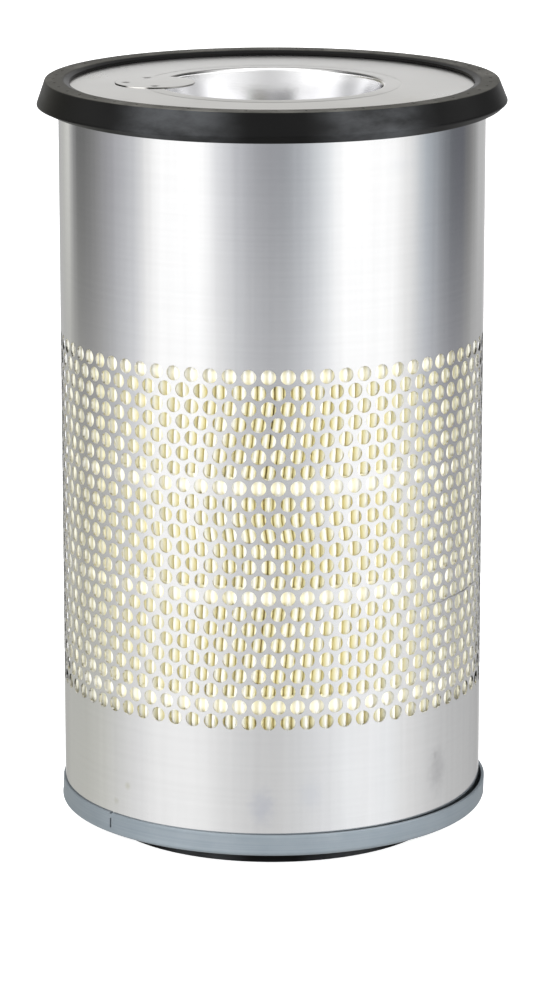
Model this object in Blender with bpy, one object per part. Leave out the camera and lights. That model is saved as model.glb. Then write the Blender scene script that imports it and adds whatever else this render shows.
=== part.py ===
"""Round heavy-duty air filter element, standing on its open end.

Metres, +Z up. The origin is the centre of the gasket's lower face, and the
front of the element looks along -Y.
"""
import math

import bmesh
import bpy
from mathutils import Matrix, Vector

# Overall sizes
ELEMENT_LENGTH = 0.3455        # between the outer faces of the two end caps
LINER_RADIUS = 0.100           # outer face of the outer liner
OUTLET_RADIUS = 0.055          # inner face of the inner liner
SEAT_GAP = 0.0003              # left between pieces that touch

# Sheet metal
LINER_SHEET = 0.0008
CAP_SHEET = 0.0008
FLANGE_CLEARANCE = 0.0010      # between the outer liner and the flange round it
OUTLET_CLEARANCE = 0.0014      # between the inner liner and the flange inside it
FLANGE_DEPTH = 0.0102
OUTLET_FLANGE_DEPTH = 0.0090
CAP_BEND = 0.0018              # outer radius of a pressed corner

# Slit in the rim of the open end cap, lower left in front, and a notch above it
SLIT_WIDTH = 0.0011
SLIT_HEIGHT = 0.0047
SLIT_BELOW_EDGE = 0.0026
SLIT_ANGLE = math.radians(-48.7)
NOTCH_WIDTH = 0.0014
NOTCH_DEPTH = 0.0006

# Drawn dish in the closed end cap
DISH_CLEARANCE = 0.0022        # between the wall of the dish and the inner liner
DISH_DEPTH = 0.050
DISH_TAPER = 0.006             # how much smaller in radius the floor is
DISH_BAND = 0.008              # width of the shallow cone that rises to the mouth
DISH_BAND_RISE = 0.0002
DISH_LIP = 0.0018              # radius of the edge of the mouth
DISH_CORNER = 0.006
STUD_HOLE_RADIUS = 0.0055

# Disc that is spot-welded over the edge of the dish
DISC_RADIUS = 0.0188
DISC_SHEET = 0.0005
DISC_OVERHANG = 0.0161
WELD_RADIUS = 0.0018
WELD_DEPTH = 0.0003
WELD_CIRCLE = 0.0137
WELD_SPREAD = math.radians(82)
WELD_TURN = math.radians(9)

# Gasket under the open end
GASKET_HEIGHT = 0.0093
GASKET_RADIUS = 0.081
GASKET_WIDTH = 0.020
GASKET_EDGE = 0.0004

# Rubber ring round the closed end
RING_LAP = 0.0071              # how far it reaches in over the cap
RING_PROUD = 0.0019            # how far its inner edge stands above the cap
RING_RISE = 0.00065            # from the inner edge up to its flat top
RING_RISE_WIDTH = 0.0035
RING_HEIGHT = 0.0131           # from its inner edge down to its lower face
RING_TOP_WIDTH = 0.0115
RING_EDGE = 0.0006
RING_FLARE = 0.0039            # from the top edge out to the widest point
RING_LIP_HEIGHT = 0.0030       # widest point above the lower face

# Perforated zone of the outer liner, coarser than the punched sheet
PLAIN_BAND = 0.0603            # from the open end cap to the perforation
PERFORATED_HEIGHT = 0.1694
HOLE_COLUMNS = 24
HOLE_ROWS = 8
HOLE_SIZE = 0.0215
HOLE_PHASE = math.radians(4.2 - 90)

# Inner liner, perforated from end to end
CORE_HOLE_COLUMNS = 12
CORE_HOLE_ROWS = 6
CORE_HOLE_WIDTH = 0.0240
CORE_HOLE_HEIGHT = 0.0490
CORE_END_BAND = 0.0160

# Pleated paper and the strings of glue round it
PLEAT_COUNT = 155
PLEAT_FOLD = 0.0120            # depth of the closed fold at each tip
MEDIA_CLEARANCE = 0.0005       # between the pleats and the inner liner
BEAD_SIZE = 0.0009
BEAD_GAP = 0.0007              # covers the facets of the bead and the tips
BEAD_CLEARANCE = 0.0009        # between the beads and the outer liner
BEAD_COUNT = 7
BEAD_LOW_MARGIN = 0.0123       # from the lower end of the media to the first bead
BEAD_HIGH_MARGIN = 0.0082
POTTING_HEIGHT = 0.006
POTTING_CLEARANCE = 0.0007     # between the potting and the liners' facets

SEGMENTS = 40

# Levels that follow from the sizes above
OPEN_FACE_Z = GASKET_HEIGHT + SEAT_GAP
CLOSED_FACE_Z = OPEN_FACE_Z + ELEMENT_LENGTH
LOWER_SEAT_Z = OPEN_FACE_Z + CAP_SHEET + SEAT_GAP
UPPER_SEAT_Z = CLOSED_FACE_Z - CAP_SHEET - SEAT_GAP
MEDIA_LOW_Z = LOWER_SEAT_Z + POTTING_HEIGHT + SEAT_GAP
MEDIA_HIGH_Z = UPPER_SEAT_Z - POTTING_HEIGHT - SEAT_GAP

# Radii that follow from the sizes above
FLANGE_RADIUS = LINER_RADIUS + FLANGE_CLEARANCE + CAP_SHEET
RING_INNER_RADIUS = FLANGE_RADIUS - RING_LAP
LINER_INNER_RADIUS = LINER_RADIUS - LINER_SHEET
CORE_RADIUS = OUTLET_RADIUS + LINER_SHEET
DISH_MOUTH_RADIUS = OUTLET_RADIUS - DISH_CLEARANCE - CAP_SHEET
BAND_RADIUS = DISH_MOUTH_RADIUS + DISH_BAND
BEAD_RADIUS = LINER_INNER_RADIUS - BEAD_CLEARANCE
PLEAT_OUTER_RADIUS = BEAD_RADIUS - BEAD_SIZE - BEAD_GAP
PLEAT_INNER_RADIUS = CORE_RADIUS + MEDIA_CLEARANCE


def material(name, color, roughness, metallic=0.0):
    """A Principled material with one colour, roughness and metallic value."""
    made = bpy.data.materials.new(name)
    made.use_nodes = True
    shader = made.node_tree.nodes["Principled BSDF"]
    shader.inputs["Base Color"].default_value = (*color, 1.0)
    shader.inputs["Roughness"].default_value = roughness
    shader.inputs["Metallic"].default_value = metallic
    return made


def add_object(name, mesh, finish, smooth_angle=math.radians(35)):
    """Link a mesh as one named sub-part, smooth except at its real edges."""
    mesh.shade_smooth()
    mesh.set_sharp_from_angle(angle=smooth_angle)
    made = bpy.data.objects.new(name, mesh)
    made.data.materials.append(finish)
    bpy.context.scene.collection.objects.link(made)
    return made


def mesh_from(bm, name):
    """Face a closed bmesh outwards and turn it into a mesh."""
    bmesh.ops.recalc_face_normals(bm, faces=bm.faces)
    mesh = bpy.data.meshes.new(name)
    bm.to_mesh(mesh)
    bm.free()
    return mesh


def on_circle(radius, angle, z):
    """The point at this radius and angle about the element's axis."""
    return Vector((radius * math.cos(angle), radius * math.sin(angle), z))


def rounded(corners):
    """A path of (r, z) points through corners of (r, z, radius, steps).

    Each corner between the two ends becomes an arc of that many steps, or
    stays sharp with none.
    """
    path = [Vector(corners[0][:2])]
    for before, here, after in zip(corners, corners[1:], corners[2:]):
        corner = Vector(here[:2])
        into = (corner - Vector(before[:2])).normalized()
        out = (Vector(after[:2]) - corner).normalized()
        turn = into.angle_signed(out)
        tangent = here[2] * math.tan(abs(turn) / 2)
        start = corner - into * tangent
        steps = here[3]
        side = math.copysign(1.0, into.cross(out))
        centre = start + Vector((-into.y, into.x)) * side * here[2]
        for step in range(steps + 1):
            angle = side * abs(turn) * step / max(steps, 1)
            arm = start - centre
            path.append(centre + Vector((
                arm.x * math.cos(angle) - arm.y * math.sin(angle),
                arm.x * math.sin(angle) + arm.y * math.cos(angle))))
    path.append(Vector(corners[-1][:2]))
    return path


def sheet_section(face, thickness):
    """The closed section of a pressed sheet whose visible face is a path.

    The thickness is laid on the left of the path, or on its right when it
    is negative.
    """
    back = []
    for index, point in enumerate(face):
        before = face[max(index - 1, 0)]
        after = face[min(index + 1, len(face) - 1)]
        ahead = (after - point) if index == 0 else (point - before)
        follow = (point - before) if index == len(face) - 1 else (after - point)
        bisector = (ahead.normalized() + follow.normalized()).normalized()
        normal = Vector((-bisector.y, bisector.x))
        stretch = 1.0 / bisector.dot(follow.normalized())
        back.append(point + normal * thickness * stretch)
    return face + back[::-1]


def turned(name, section, finish):
    """Spin a closed section of (r, z) points about the element's axis."""
    bm = bmesh.new()
    ring = [bm.verts.new((point[0], 0.0, point[1])) for point in section]
    edges = [bm.edges.new((a, b)) for a, b in zip(ring, ring[1:] + ring[:1])]
    bmesh.ops.spin(bm, geom=ring + edges, cent=(0, 0, 0), axis=(0, 0, 1),
                   angle=2 * math.pi, steps=SEGMENTS, use_merge=True)
    bmesh.ops.remove_doubles(bm, verts=bm.verts, dist=1e-6)
    return add_object(name, mesh_from(bm, name), finish)


def perforated_tube(name, radius, low, high, zone, columns, rows, hole, phase, finish):
    """A punched sheet rolled into a tube, with staggered six-sided holes.

    radius is the outer face, zone the lowest and highest point of the holes
    and hole their width and height over the corners. Webs join each hole to
    its six neighbours, and plain bands close the sheet above and below.
    """
    pitch = 2 * math.pi / columns
    row_pitch = (zone[1] - zone[0] - hole[1]) / (rows - 1)
    bm = bmesh.new()

    def corner(column, row, degrees):
        across = hole[0] / 2 * math.cos(math.radians(degrees)) / radius
        up = hole[1] / 2 * math.sin(math.radians(degrees))
        angle = phase + (column + 0.5 * (row % 2)) * pitch + across
        z = zone[0] + hole[1] / 2 + row * row_pitch + up
        return bm.verts.new(on_circle(radius, angle, z))

    corners = {(column, row, degrees): corner(column, row, degrees)
               for column in range(columns) for row in range(rows)
               for degrees in (30, 90, 150, 210, 270, 330)}

    def face(*keys):
        bm.faces.new([corners[column % columns, row, degrees] for column, row, degrees in keys])

    def band(keys, z):
        edge = [corners[column % columns, row, degrees] for column, row, degrees in keys]
        end = [bm.verts.new(on_circle(radius, math.atan2(v.co.y, v.co.x), z)) for v in edge]
        for index, vert in enumerate(edge):
            following = (index + 1) % len(edge)
            bm.faces.new((vert, edge[following], end[following], end[index]))

    for row in range(rows):
        shift = row % 2
        for column in range(columns):
            right, up_left, up_right = column + 1, column + shift - 1, column + shift
            face((column, row, 30), (column, row, 330), (right, row, 210), (right, row, 150))
            if row + 1 < rows:
                above = row + 1
                face((column, row, 90), (column, row, 30),
                     (up_right, above, 270), (up_right, above, 210))
                face((column, row, 150), (column, row, 90),
                     (up_left, above, 330), (up_left, above, 270))
                face((column, row, 30), (right, row, 150), (up_right, above, 270))
                face((column, row, 90), (up_right, above, 210), (up_left, above, 330))
    band([(column, rows - 1, degrees) for column in range(columns)
          for degrees in (150, 90, 30)], high)
    band([(column, 0, degrees) for column in range(columns)
          for degrees in (210, 270, 330)], low)

    tube = add_object(name, mesh_from(bm, name), finish)
    sheet = tube.modifiers.new("sheet", "SOLIDIFY")
    sheet.thickness = LINER_SHEET
    sheet.offset = -1.0
    return tube


def cut(piece, name, mesh_bm):
    """Cut one closed bmesh out of a piece, and keep the cutter as a guide."""
    cutter = bpy.data.objects.new(name, mesh_from(mesh_bm, name))
    cutter.hide_render = True
    cutter.display_type = "WIRE"
    bpy.context.scene.collection.objects.link(cutter)
    boolean = piece.modifiers.new(name, "BOOLEAN")
    boolean.operation = "DIFFERENCE"
    boolean.object = cutter


def open_end_gasket(finish):
    inner = GASKET_RADIUS - GASKET_WIDTH
    e = GASKET_EDGE
    section = [(GASKET_RADIUS, GASKET_HEIGHT), (GASKET_RADIUS, e), (GASKET_RADIUS - e, 0.0),
               (inner + e, 0.0), (inner, e), (inner, GASKET_HEIGHT)]
    turned("open_end_gasket", section, finish)


def open_end_cap(finish):
    """A pressed channel ring: rim, flat face and a flange up into the outlet."""
    outlet = OUTLET_RADIUS - OUTLET_CLEARANCE - CAP_SHEET
    face = rounded([(FLANGE_RADIUS, OPEN_FACE_Z + FLANGE_DEPTH),
                    (FLANGE_RADIUS, OPEN_FACE_Z, CAP_BEND, 2),
                    (outlet, OPEN_FACE_Z, CAP_BEND, 2),
                    (outlet, OPEN_FACE_Z + OUTLET_FLANGE_DEPTH)])
    cap = turned("open_end_cap", sheet_section(face, -CAP_SHEET), finish)

    edge = OPEN_FACE_Z + FLANGE_DEPTH
    slit = bmesh.new()
    for width, height, middle in (
            (SLIT_WIDTH, SLIT_HEIGHT, edge - SLIT_BELOW_EDGE - SLIT_HEIGHT / 2),
            (NOTCH_WIDTH, 2 * NOTCH_DEPTH, edge)):
        box = bmesh.ops.create_cube(slit, size=1.0)["verts"]
        bmesh.ops.scale(slit, vec=(width, 6 * CAP_SHEET, height), verts=box)
        bmesh.ops.translate(slit, vec=(0, CAP_SHEET / 2 - FLANGE_RADIUS, middle), verts=box)
    bmesh.ops.rotate(slit, cent=(0, 0, 0), verts=slit.verts,
                     matrix=Matrix.Rotation(SLIT_ANGLE, 3, "Z"))
    cut(cap, "rim_slit_and_notch", slit)


def closed_end_cap(finish):
    """A pressed cap with a rim and a deep drawn dish with a hole for the stud."""
    floor_z = CLOSED_FACE_Z - DISH_DEPTH
    face = rounded([(FLANGE_RADIUS, CLOSED_FACE_Z - FLANGE_DEPTH),
                    (FLANGE_RADIUS, CLOSED_FACE_Z, CAP_BEND, 2),
                    (BAND_RADIUS, CLOSED_FACE_Z, 0, 0),
                    (DISH_MOUTH_RADIUS, CLOSED_FACE_Z + DISH_BAND_RISE, DISH_LIP, 3),
                    (DISH_MOUTH_RADIUS - DISH_TAPER, floor_z, DISH_CORNER, 2),
                    (STUD_HOLE_RADIUS, floor_z)])
    turned("closed_end_cap", sheet_section(face, CAP_SHEET), finish)


def spot_welded_disc(finish):
    """A thin disc on the cap that reaches over the mouth of the dish."""
    centre = Vector((DISC_OVERHANG - DISC_RADIUS - DISH_MOUTH_RADIUS, 0, 0))
    low = CLOSED_FACE_Z + DISH_BAND_RISE + SEAT_GAP
    disc = bmesh.new()
    bmesh.ops.create_cone(disc, cap_ends=True, segments=SEGMENTS // 2, radius1=DISC_RADIUS,
                          radius2=DISC_RADIUS, depth=DISC_SHEET)
    bmesh.ops.translate(disc, vec=centre + Vector((0, 0, low + DISC_SHEET / 2)),
                        verts=disc.verts)
    piece = add_object("spot_welded_disc", mesh_from(disc, "spot_welded_disc"), finish)
    for number in (-1, 0, 1):
        weld = bmesh.new()
        bmesh.ops.create_cone(weld, cap_ends=True, segments=8, radius1=WELD_RADIUS / 2,
                              radius2=WELD_RADIUS * 1.5, depth=2 * WELD_DEPTH)
        angle = math.pi + WELD_TURN + number * WELD_SPREAD
        place = centre + on_circle(WELD_CIRCLE, angle, low + DISC_SHEET)
        bmesh.ops.translate(weld, vec=place, verts=weld.verts)
        cut(piece, "weld_%d" % (number + 2), weld)


def seal_ring(finish):
    """The rubber ring: a lip on the cap and a skirt that flares outwards."""
    inner_top = CLOSED_FACE_Z + RING_PROUD
    top = inner_top + RING_RISE
    low = inner_top - RING_HEIGHT
    shoulder = RING_INNER_RADIUS + RING_TOP_WIDTH
    widest = shoulder + RING_FLARE
    seat = FLANGE_RADIUS + SEAT_GAP
    lip_z = low + RING_LIP_HEIGHT
    middle = (0.5 * (shoulder + widest) - RING_FLARE / 8, 0.5 * (top + lip_z))
    section = [(RING_INNER_RADIUS, inner_top), (RING_INNER_RADIUS + RING_RISE_WIDTH, top),
               (shoulder - RING_EDGE, top), (shoulder, top - RING_EDGE), middle,
               (widest, lip_z), (widest - RING_LIP_HEIGHT / 6, low + RING_LIP_HEIGHT / 3),
               (widest - RING_LIP_HEIGHT * 2 / 3, low), (seat, low),
               (seat, CLOSED_FACE_Z + SEAT_GAP), (RING_INNER_RADIUS, CLOSED_FACE_Z + SEAT_GAP)]
    turned("seal_ring", section, finish)


def potting(name, low, finish):
    """A ring of cured sealant that holds the media and the liners in a cap."""
    outer = LINER_INNER_RADIUS - POTTING_CLEARANCE
    inner = CORE_RADIUS + POTTING_CLEARANCE
    high = low + POTTING_HEIGHT
    turned(name, [(outer, high), (outer, low), (inner, low), (inner, high)], finish)


def outer_liner(finish):
    zone_low = OPEN_FACE_Z + PLAIN_BAND
    perforated_tube("outer_liner", LINER_RADIUS, LOWER_SEAT_Z, UPPER_SEAT_Z,
                    (zone_low, zone_low + PERFORATED_HEIGHT), HOLE_COLUMNS, HOLE_ROWS,
                    (HOLE_SIZE, HOLE_SIZE), HOLE_PHASE, finish)


def inner_liner(finish):
    perforated_tube("inner_liner", CORE_RADIUS, LOWER_SEAT_Z, UPPER_SEAT_Z,
                    (LOWER_SEAT_Z + CORE_END_BAND, UPPER_SEAT_Z - CORE_END_BAND),
                    CORE_HOLE_COLUMNS, CORE_HOLE_ROWS,
                    (CORE_HOLE_WIDTH, CORE_HOLE_HEIGHT), 0.0, finish)


def pleated_media(finish):
    """Paper folded to and fro between the liners, as one closed sheet."""
    outside, inside = [], []
    for fold in range(2 * PLEAT_COUNT):
        angle = math.pi * fold / PLEAT_COUNT
        at_tip = fold % 2 == 0
        outside.append((PLEAT_OUTER_RADIUS if at_tip else PLEAT_INNER_RADIUS + PLEAT_FOLD, angle))
        inside.append((PLEAT_OUTER_RADIUS - PLEAT_FOLD if at_tip else PLEAT_INNER_RADIUS, angle))
    bm = bmesh.new()
    rings = [[bm.verts.new(on_circle(radius, angle, z)) for radius, angle in wall]
             for wall, z in ((outside, MEDIA_LOW_Z), (outside, MEDIA_HIGH_Z),
                             (inside, MEDIA_HIGH_Z), (inside, MEDIA_LOW_Z))]
    for one, other in zip(rings, rings[1:] + rings[:1]):
        for index in range(len(one)):
            following = (index + 1) % len(one)
            bm.faces.new((one[index], one[following], other[following], other[index]))
    add_object("pleated_media", mesh_from(bm, "pleated_media"), finish)


def pleat_beads(finish):
    """Strings of glue round the pleats, evenly spaced over the whole height."""
    first = MEDIA_LOW_Z + BEAD_LOW_MARGIN
    last = MEDIA_HIGH_Z - BEAD_HIGH_MARGIN
    for number in range(BEAD_COUNT):
        z = first + (last - first) * number / (BEAD_COUNT - 1)
        section = [(BEAD_RADIUS, z), (BEAD_RADIUS - BEAD_SIZE, z - BEAD_SIZE),
                   (BEAD_RADIUS - BEAD_SIZE, z + BEAD_SIZE)]
        turned("pleat_bead_%d" % (number + 1), section, finish)


def main():
    for old in list(bpy.data.objects):
        bpy.data.objects.remove(old)
    steel = material("bare_steel", (0.58, 0.58, 0.57), 0.32, 1.0)
    rim_steel = material("blue_grey_steel", (0.28, 0.34, 0.38), 0.45, 0.6)
    liner_steel = material("liner_steel", (0.50, 0.50, 0.52), 0.30, 1.0)
    rubber = material("black_rubber", (0.02, 0.02, 0.022), 0.6)
    paper = material("filter_paper", (0.80, 0.74, 0.55), 0.85)
    glue = material("hot_melt_glue", (0.85, 0.82, 0.72), 0.5)
    sealant = material("potting_sealant", (0.30, 0.29, 0.27), 0.6)

    open_end_gasket(rubber)
    open_end_cap(rim_steel)
    potting("open_end_potting", LOWER_SEAT_Z, sealant)
    outer_liner(liner_steel)
    inner_liner(liner_steel)
    pleated_media(paper)
    pleat_beads(glue)
    potting("closed_end_potting", UPPER_SEAT_Z - POTTING_HEIGHT, sealant)
    closed_end_cap(steel)
    spot_welded_disc(steel)
    seal_ring(rubber)


main()
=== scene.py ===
import math

import bmesh
import bpy
import numpy as np
from mathutils import Matrix, Vector


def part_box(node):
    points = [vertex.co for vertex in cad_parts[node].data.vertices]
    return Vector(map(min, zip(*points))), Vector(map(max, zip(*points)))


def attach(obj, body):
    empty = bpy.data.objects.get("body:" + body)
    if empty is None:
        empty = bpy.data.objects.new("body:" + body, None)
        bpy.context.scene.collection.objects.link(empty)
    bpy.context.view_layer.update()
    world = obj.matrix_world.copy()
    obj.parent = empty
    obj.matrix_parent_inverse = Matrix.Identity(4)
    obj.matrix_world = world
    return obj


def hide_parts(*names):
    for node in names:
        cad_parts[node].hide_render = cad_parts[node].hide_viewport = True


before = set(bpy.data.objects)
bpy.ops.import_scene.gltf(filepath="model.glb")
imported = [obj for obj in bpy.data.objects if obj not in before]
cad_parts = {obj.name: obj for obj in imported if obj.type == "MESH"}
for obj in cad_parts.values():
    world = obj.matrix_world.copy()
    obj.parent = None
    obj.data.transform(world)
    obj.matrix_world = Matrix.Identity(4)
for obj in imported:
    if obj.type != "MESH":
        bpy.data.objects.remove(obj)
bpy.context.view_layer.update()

MM = 0.001

# The photograph's frame and camera, in pixels and metres; the sensor is in millimetres
PHOTO_WIDTH = 555
PHOTO_HEIGHT = 1000
FOCAL_PIXELS = 4363.65
PRINCIPAL_X = 272.07
PRINCIPAL_Y = 487.03
CAMERA_AT = Vector((0.0, -2.0260, 0.6493))
CAMERA_PITCH = math.radians(13.546)
SENSOR = 36.0

# Sizes of the element, in metres, as the frame gives them or as the photograph shows
LINER_RADIUS = 100 * MM
LINER_SHEET = 0.8 * MM
CAP_SHEET = 0.8 * MM
CAP_BEND = 1.8 * MM
CAP_RISE = 1.1 * MM
FLANGE_DEPTH = 10.2 * MM
CORE_RADIUS = 55.8 * MM
LINER_LOW, LINER_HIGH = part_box("outer_liner")[0].z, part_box("outer_liner")[1].z
CORE_LOW, CORE_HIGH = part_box("inner_liner")[0].z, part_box("inner_liner")[1].z
MEDIA_LOW, MEDIA_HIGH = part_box("pleated_media")[0].z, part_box("pleated_media")[1].z
FLANGE_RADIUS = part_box("closed_end_cap")[1].x
CLOSED_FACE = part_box("outer_liner")[1].z + CAP_RISE
CLOSED_RIM = CLOSED_FACE - FLANGE_DEPTH
OPEN_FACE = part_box("open_end_cap")[0].z
OPEN_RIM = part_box("open_end_cap")[1].z
RING_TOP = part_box("seal_ring")[1].z
RING_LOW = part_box("seal_ring")[0].z

# The punched sheets
HOLE_RADIUS = 3.5 * MM
HOLE_COLUMNS = 70
HOLE_ROWS = 23
HOLE_ROW_PITCH = 7.39 * MM
LOWEST_HOLE_Z = 73.4 * MM
HOLE_PHASE = math.radians(4.2)
CORE_HOLE_COLUMNS = 39
FRONT = math.radians(-90)

# The paper; a pleat meets its neighbours a shoulder's depth below its fold
PLEATS = 155
PLEAT_TIP = 97.2 * MM
PLEAT_ROOT = 56.6 * MM
PAPER_SHEET = 0.40 * MM
SHOULDER = 3.0 * MM


def blank_tree(name):
    """A material with an empty node tree but for its output."""
    made = bpy.data.materials.new(name)
    made.use_nodes = True
    made.node_tree.nodes.clear()
    return made, made.node_tree


def node(tree, kind, inputs=None, **settings):
    """Add a node, set its properties, and link or set its inputs."""
    made = tree.nodes.new(kind)
    for key, value in settings.items():
        setattr(made, key, value)
    for key, value in (inputs or {}).items():
        if isinstance(value, bpy.types.NodeSocket):
            tree.links.new(value, made.inputs[key])
        else:
            made.inputs[key].default_value = value
    return made


def math_node(tree, operation, first, second=0.0, third=0.0, clamp=False):
    made = node(tree, "ShaderNodeMath", {0: first, 1: second, 2: third}, operation=operation)
    made.use_clamp = clamp
    return made.outputs[0]


def as_color(value):
    """A colour as it is, or a number as a grey."""
    return (value, value, value) if isinstance(value, (int, float)) else value


def ramp(tree, value, stops, interpolation="LINEAR"):
    """A colour ramp from (position, colour) stops; a number means a grey."""
    made = node(tree, "ShaderNodeValToRGB", {"Fac": value})
    made.color_ramp.interpolation = interpolation
    elements = made.color_ramp.elements
    while len(elements) < len(stops):
        elements.new(0.5)
    for element, (position, color) in zip(elements, stops):
        element.position = position
        element.color = (*as_color(color), 1.0)
    return made.outputs["Color"]


def mix(tree, factor, first, second, blend="MIX"):
    made = node(tree, "ShaderNodeMix", data_type="RGBA", blend_type=blend)
    sockets = (made.inputs[0], made.inputs[6], made.inputs[7])
    for socket, value in zip(sockets, (factor, first, second)):
        if isinstance(value, bpy.types.NodeSocket):
            tree.links.new(value, socket)
        else:
            socket.default_value = value if isinstance(value, (int, float)) else (*value, 1.0)
    return made.outputs[2]


def tinted(tree, color, mask, amount, tint):
    """The colour, turned towards a tint by this amount where the mask is white."""
    return mix(tree, math_node(tree, "MULTIPLY", mask, amount), color, tint)


def object_point(tree):
    return node(tree, "ShaderNodeTexCoord").outputs["Object"]


def split(tree, vector):
    """The x, y and z of a vector."""
    return tuple(node(tree, "ShaderNodeSeparateXYZ", {0: vector}).outputs)


def length(tree, vector):
    made = node(tree, "ShaderNodeVectorMath", {0: vector}, operation="LENGTH")
    return made.outputs["Value"]


def from_axis(tree, point):
    """The distance of a point from the Z axis."""
    x, y = split(tree, point)[:2]
    return length(tree, node(tree, "ShaderNodeCombineXYZ", {0: x, 1: y}).outputs[0])


def bearing(tree, point):
    """The angle round Z in radians, from -Y towards +X; it jumps behind, at +Y."""
    x, y = split(tree, point)[:2]
    return math_node(tree, "ARCTAN2", x, math_node(tree, "MULTIPLY", y, -1.0))


def turn_share(tree, angle):
    """A bearing as a share of the full turn: 0.5 in front, 0 and 1 behind."""
    return math_node(tree, "MULTIPLY_ADD", angle, 0.5 / math.pi, 0.5)


def share_at(degrees):
    """The same share for a bearing in degrees."""
    return (degrees + 180) / 360


def wrapped(tree):
    """Coordinates on the unrolled wall: metres round and metres up.

    They start and end behind the element, where the seam is.
    """
    point = object_point(tree)
    around = math_node(tree, "MULTIPLY", bearing(tree, point), LINER_RADIUS)
    return node(tree, "ShaderNodeCombineXYZ", {0: around, 1: split(tree, point)[2]}).outputs[0]


def seen_from(tree, wall, place, turn=0.0, size=(1.0, 1.0, 1.0)):
    """Wall coordinates taken from a place in mm, turned, and measured in this size."""
    return node(tree, "ShaderNodeMapping", {
        "Vector": wall, "Location": (place[0] * MM, place[1] * MM, 0.0),
        "Rotation": (0.0, 0.0, turn), "Scale": size}, vector_type="TEXTURE").outputs[0]


def scaled(tree, vector, scale):
    return node(tree, "ShaderNodeMapping", {"Vector": vector, "Scale": scale}).outputs[0]


def noise(tree, vector, scale, detail, roughness):
    made = node(tree, "ShaderNodeTexNoise", {
        "Vector": vector, "Scale": scale, "Detail": detail, "Roughness": roughness})
    return made.outputs["Fac"]


def bump(tree, height, distance, strength, below=None):
    inputs = {"Height": height, "Distance": distance, "Strength": strength}
    if below is not None:
        inputs["Normal"] = below
    return node(tree, "ShaderNodeBump", inputs).outputs[0]


def finish_material(made, tree, sockets):
    """Add the Principled shader with these sockets and the output."""
    shader = node(tree, "ShaderNodeBsdfPrincipled", sockets)
    node(tree, "ShaderNodeOutputMaterial", {"Surface": shader.outputs[0]})
    return made


# Mesh helpers

def on_circle(radius, angle, z):
    return (radius * math.cos(angle), radius * math.sin(angle), z)


def piece(name, vertices, faces, material, replaced, smooth_angle=40):
    """A finished piece that rides on the element in place of its CAD node."""
    mesh = bpy.data.meshes.new(name)
    mesh.from_pydata(vertices, [], faces)
    mesh.validate()
    mesh.shade_smooth()
    mesh.set_sharp_from_angle(angle=math.radians(smooth_angle))
    mesh.materials.append(material)
    made = bpy.data.objects.new(name, mesh)
    bpy.context.scene.collection.objects.link(made)
    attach(made, "root")
    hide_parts(replaced)
    return made


def rounded(corners):
    """A path of (r, z) points through corners of (r, z, radius, steps)."""
    path = [Vector(corners[0][:2])]
    for before, here, after in zip(corners, corners[1:], corners[2:]):
        corner = Vector(here[:2])
        into = (corner - Vector(before[:2])).normalized()
        out = (Vector(after[:2]) - corner).normalized()
        radius, steps = here[2], here[3]
        turn = math.atan2(into.cross(out), into.dot(out))
        side = math.copysign(1.0, turn)
        start = corner - into * radius * math.tan(abs(turn) / 2)
        centre = start + Vector((-into.y, into.x)) * side * radius
        arm = start - centre
        for step in range(steps + 1):
            angle = turn * step / max(steps, 1)
            path.append(centre + Vector((
                arm.x * math.cos(angle) - arm.y * math.sin(angle),
                arm.x * math.sin(angle) + arm.y * math.cos(angle))))
    path.append(Vector(corners[-1][:2]))
    return held(path)


def held(path):
    """The path with a point near both ends of each long run, so that it shades flat."""
    hold = 0.4 * MM
    points = [path[0]]
    for here, following in zip(path, path[1:]):
        run = following - here
        if run.length > 4 * hold:
            step = run.normalized() * hold
            points += [here + step, following - step]
        points.append(following)
    return points


def sheet_section(face, thickness):
    """The closed section of a sheet; the thickness lies left of its face."""
    back = []
    last = len(face) - 1
    for index, point in enumerate(face):
        ahead = point - face[index - 1] if index else face[1] - point
        follow = face[index + 1] - point if index < last else point - face[index - 1]
        bisector = (ahead.normalized() + follow.normalized()).normalized()
        normal = Vector((-bisector.y, bisector.x))
        back.append(point + normal * thickness / bisector.dot(follow.normalized()))
    return face + back[::-1]


def signed_area(section):
    pairs = zip(section, section[1:] + section[:1])
    return 0.5 * sum(a[0] * b[1] - b[0] * a[1] for a, b in pairs)


def swept(steps, count):
    """Faces between closed sections of this many points, round to the first again."""
    faces = []
    for step in range(steps):
        here, there = step * count, (step + 1) % steps * count
        for index in range(count):
            following = (index + 1) % count
            faces.append((here + index, there + index, there + following, here + following))
    return faces


def turned(section, segments=256):
    """Vertices and outward faces of a closed (r, z) section spun round Z."""
    if signed_area(section) < 0:
        section = section[::-1]
    vertices = [on_circle(r, 2 * math.pi * step / segments, z)
                for step in range(segments) for r, z in section]
    return vertices, swept(segments, len(section))


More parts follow.
